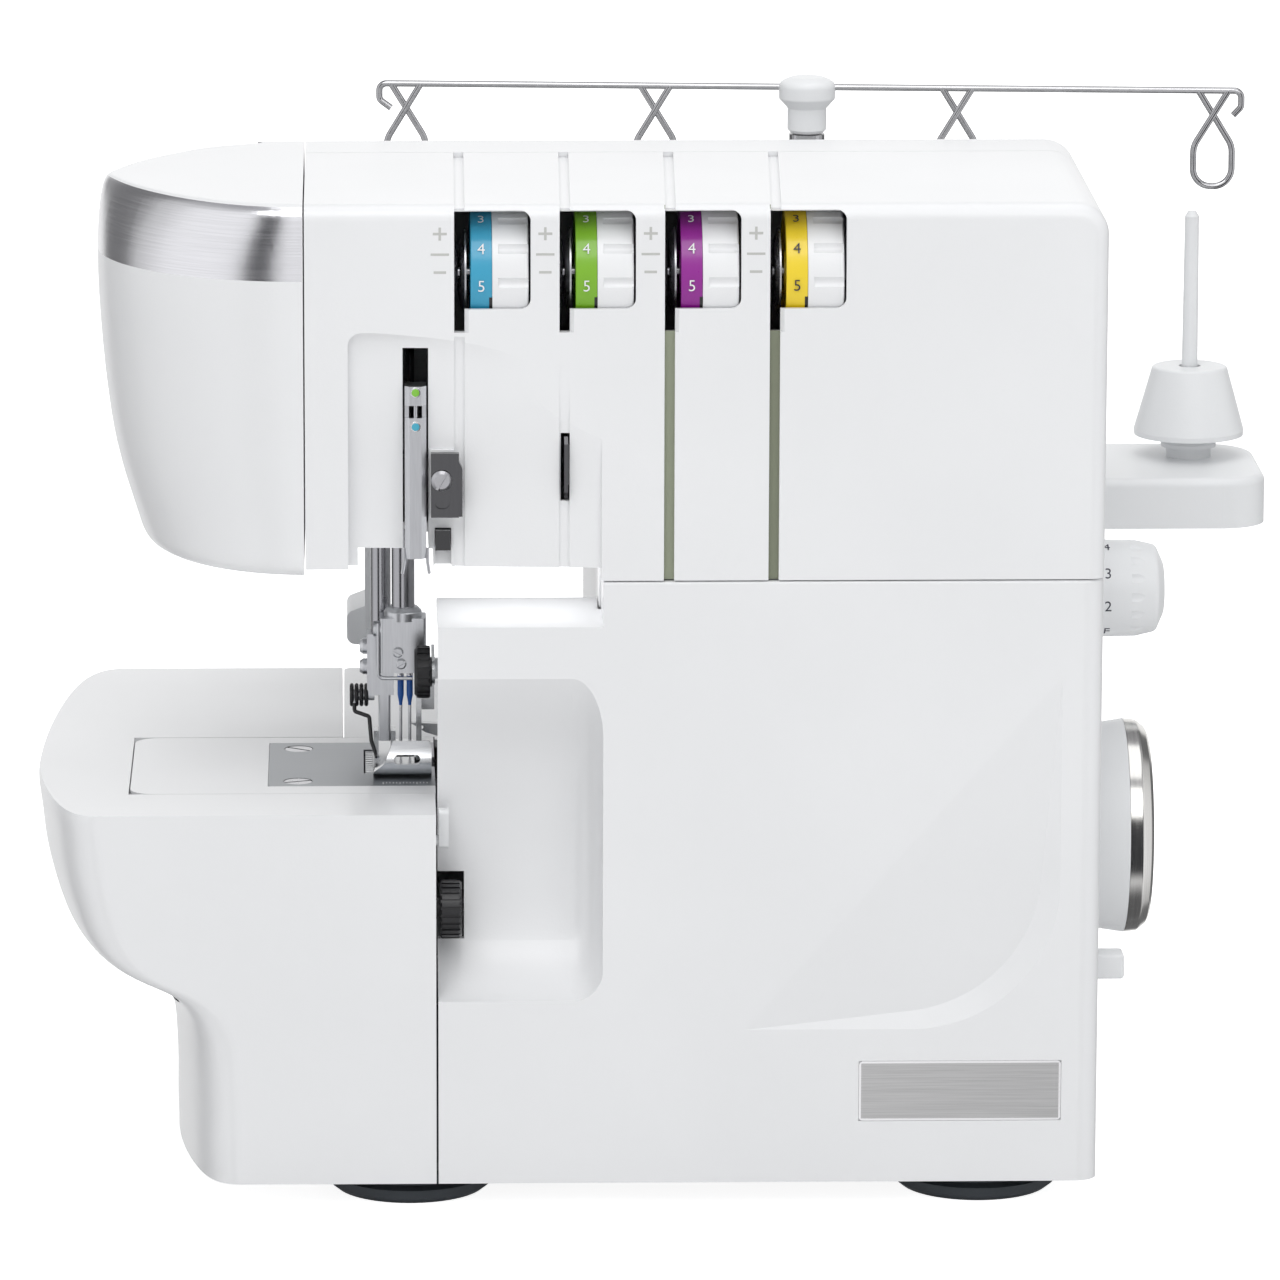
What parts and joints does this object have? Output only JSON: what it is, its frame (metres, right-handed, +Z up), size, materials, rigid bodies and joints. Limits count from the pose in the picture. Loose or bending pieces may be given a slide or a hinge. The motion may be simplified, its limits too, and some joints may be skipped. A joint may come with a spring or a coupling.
{
  "type": "serger overlock machine",
  "caption": "White overlock sewing machine with tension dials, a thread stand, a telescopic thread guide mast and a hinged looper cover.",
  "frame": {"origin": "on the surface it stands on, under the middle of the whole machine's bounding box", "axes": "+X towards the handwheel, -Y is the front that faces the user, +Z up"},
  "size_m": [0.3766, 0.2245, 0.3102],
  "materials": {
    "white_casing": "smooth, softly glossy white",
    "grey_trim": "satin grey",
    "chrome": "polished",
    "bright_steel": "bright machined",
    "cast_metal": "as cast",
    "rubber": "matte black",
    "black_plastic": "satin black",
    "white_plastic": "satin white",
    "dial_1": "white wheel",
    "dial_2": "white wheel",
    "dial_3": "white wheel",
    "dial_4": "white wheel",
    "lamp": "smooth, dark",
    "spring_black": "blackened"
  },
  "bodies": {
    "root": {"base_plate": "black_plastic", "rubber_feet": "rubber", "main_frame": "cast_metal", "shaft_bushes": "bright_steel", "front_housing": "white_casing", "rear_housing": "white_casing", "lower_housing": "white_casing", "face_cover": "white_casing", "face_trim": "chrome", "free_arm_cover": "white_casing", "needle_plate": "bright_steel", "fixing_screws": "bright_steel", "thread_stand": "white_casing", "spool_pins": "white_plastic", "cone_holders": "white_plastic", "mast_base_tube": "chrome", "tension_posts": "bright_steel", "tension_discs": "bright_steel", "head_thread_guides": "bright_steel", "lamp_lens": "lamp", "motor": "black_plastic", "drive_belt": "rubber", "lower_knife": "bright_steel", "power_inlet": "black_plastic", "switch_bezel": "white_plastic", "cover_hinge_rod": "bright_steel", "presser_spring": "spring_black"},
    "handwheel": {"main_shaft": "bright_steel", "handwheel_hub": "white_casing", "handwheel_ring": "chrome", "belt_pulley": "cast_metal"},
    "motor_rotor": {"motor_pulley": "black_plastic"},
    "needle_drive": {"needle_bar": "bright_steel", "needle_clamp": "bright_steel", "needles": "bright_steel"},
    "take_up": {"take_up_cover": "bright_steel"},
    "cutting_knife": {"upper_knife": "bright_steel", "knife_knob": "black_plastic"},
    "looper_upper": {"upper_looper": "bright_steel"},
    "looper_lower": {"lower_looper": "bright_steel"},
    "feed": {"feed_dogs": "bright_steel"},
    "presser": {"presser_bar": "bright_steel", "foot_holder": "bright_steel", "presser_foot": "chrome"},
    "lifter": {"presser_lifter": "white_plastic"},
    "dial_1": {"tension_dial_1": "dial_1"},
    "dial_2": {"tension_dial_2": "dial_2"},
    "dial_3": {"tension_dial_3": "dial_3"},
    "dial_4": {"tension_dial_4": "dial_4"},
    "length_dial": {"stitch_length_dial": "white_plastic"},
    "width_knob": {"cutting_width_knob": "black_plastic"},
    "finger_lever": {"stitch_finger_lever": "white_plastic"},
    "switch_rocker": {"power_switch": "white_plastic"},
    "cover_slider": {"cover_hinge_sleeves": "grey_trim"},
    "front_cover": {"looper_cover": "white_casing", "badge_plate": "bright_steel"},
    "table": {"extension_table": "white_casing"},
    "mast_second": {"mast_middle": "chrome"},
    "mast_third": {"mast_top": "white_plastic", "thread_guide_bar": "chrome"}
  },
  "joints": [
    {"name": "handwheel_turn", "type": "hinge", "parent": "root", "child": "handwheel", "pos_m": [-0.09425, -0.031, 0.097], "axis": [1, 0, 0], "continuous": true},
    {"name": "motor_turn", "type": "hinge", "parent": "root", "child": "motor_rotor", "pos_m": [-0.09425, 0.055, 0.056], "axis": [1, 0, 0], "continuous": true},
    {"name": "needle_stroke", "type": "slide", "parent": "root", "child": "needle_drive", "axis": [0, 0, 1], "range_m": [-0.004, 0.018]},
    {"name": "take_up_stroke", "type": "slide", "parent": "root", "child": "take_up", "axis": [0, 0, 1], "range_m": [-0.002, 0.009]},
    {"name": "knife_stroke", "type": "slide", "parent": "root", "child": "cutting_knife", "axis": [0, 0, 1], "range_m": [-0.001, 0.0045]},
    {"name": "upper_looper_stroke", "type": "slide", "parent": "root", "child": "looper_upper", "axis": [1, 0, 0], "range_m": [-0.0016, 0.0072]},
    {"name": "lower_looper_swing", "type": "hinge", "parent": "root", "child": "looper_lower", "pos_m": [-0.09225, -0.0505, 0.092], "axis": [0, 1, 0], "range_deg": [-4.5, 20.1]},
    {"name": "feed_stroke", "type": "slide", "parent": "root", "child": "feed", "axis": [0, 0, 1], "range_m": [-0.0011, 0.00025]},
    {"name": "presser_lever", "type": "hinge", "parent": "root", "child": "lifter", "pos_m": [-0.08825, 0.005, 0.206], "axis": [1, 0, 0], "range_deg": [0, 20]},
    {"name": "presser_lift", "type": "slide", "parent": "root", "child": "presser", "axis": [0, 0, 1], "range_m": [0, 0.0055]},
    {"name": "tension_dial_1_turn", "type": "hinge", "parent": "root", "child": "dial_1", "pos_m": [-0.09425, -0.0914, 0.2764], "axis": [1, 0, 0], "range_deg": [-128, 144]},
    {"name": "tension_dial_2_turn", "type": "hinge", "parent": "root", "child": "dial_2", "pos_m": [-0.09425, -0.0914, 0.2764], "axis": [1, 0, 0], "range_deg": [-128, 144]},
    {"name": "tension_dial_3_turn", "type": "hinge", "parent": "root", "child": "dial_3", "pos_m": [-0.09425, -0.0914, 0.2764], "axis": [1, 0, 0], "range_deg": [-128, 144]},
    {"name": "tension_dial_4_turn", "type": "hinge", "parent": "root", "child": "dial_4", "pos_m": [-0.09425, -0.0914, 0.2764], "axis": [1, 0, 0], "range_deg": [-128, 144]},
    {"name": "length_dial_turn", "type": "hinge", "parent": "root", "child": "length_dial", "pos_m": [-0.09425, -0.051, 0.174], "axis": [1, 0, 0], "range_deg": [-100, 100]},
    {"name": "width_knob_turn", "type": "hinge", "parent": "root", "child": "width_knob", "pos_m": [-0.09425, -0.0996, 0.0886], "axis": [1, 0, 0], "range_deg": [-170, 170]},
    {"name": "finger_lever_turn", "type": "hinge", "parent": "root", "child": "finger_lever", "pos_m": [-0.09425, -0.098, 0.109], "axis": [1, 0, 0], "range_deg": [-9, 12]},
    {"name": "switch_rock", "type": "hinge", "parent": "root", "child": "switch_rocker", "pos_m": [0.12115, -0.004, 0.0585], "axis": [0, 1, 0], "range_deg": [-6, 6]},
    {"name": "cover_slide", "type": "slide", "parent": "root", "child": "cover_slider", "axis": [1, 0, 0], "range_m": [0, 0.008]},
    {"name": "cover_open", "type": "hinge", "parent": "cover_slider", "child": "front_cover", "pos_m": [-0.09425, -0.1054, 0.0146], "axis": [1, 0, 0], "range_deg": [0, 80]},
    {"name": "table_pull", "type": "slide", "parent": "root", "child": "table", "axis": [-1, 0, 0], "range_m": [0, 0.1]},
    {"name": "mast_middle_pull", "type": "slide", "parent": "root", "child": "mast_second", "axis": [0, 0, 1], "range_m": [0, 0.095]},
    {"name": "mast_top_pull", "type": "slide", "parent": "mast_second", "child": "mast_third", "axis": [0, 0, 1], "range_m": [0, 0.095]}
  ],
  "couplings": [
    {"joint": "motor_turn", "follows": "handwheel_turn", "ratio": 4.1429},
    {"joint": "take_up_stroke", "follows": "needle_stroke", "ratio": 0.5},
    {"joint": "knife_stroke", "follows": "needle_stroke", "ratio": 0.25},
    {"joint": "upper_looper_stroke", "follows": "needle_stroke", "ratio": 0.4},
    {"joint": "lower_looper_swing", "follows": "needle_stroke", "rad_per_m": 19.4},
    {"joint": "feed_stroke", "follows": "needle_stroke", "ratio": -0.06},
    {"joint": "presser_lever", "follows": "presser_lift", "rad_per_m": 63.4}
  ]
}
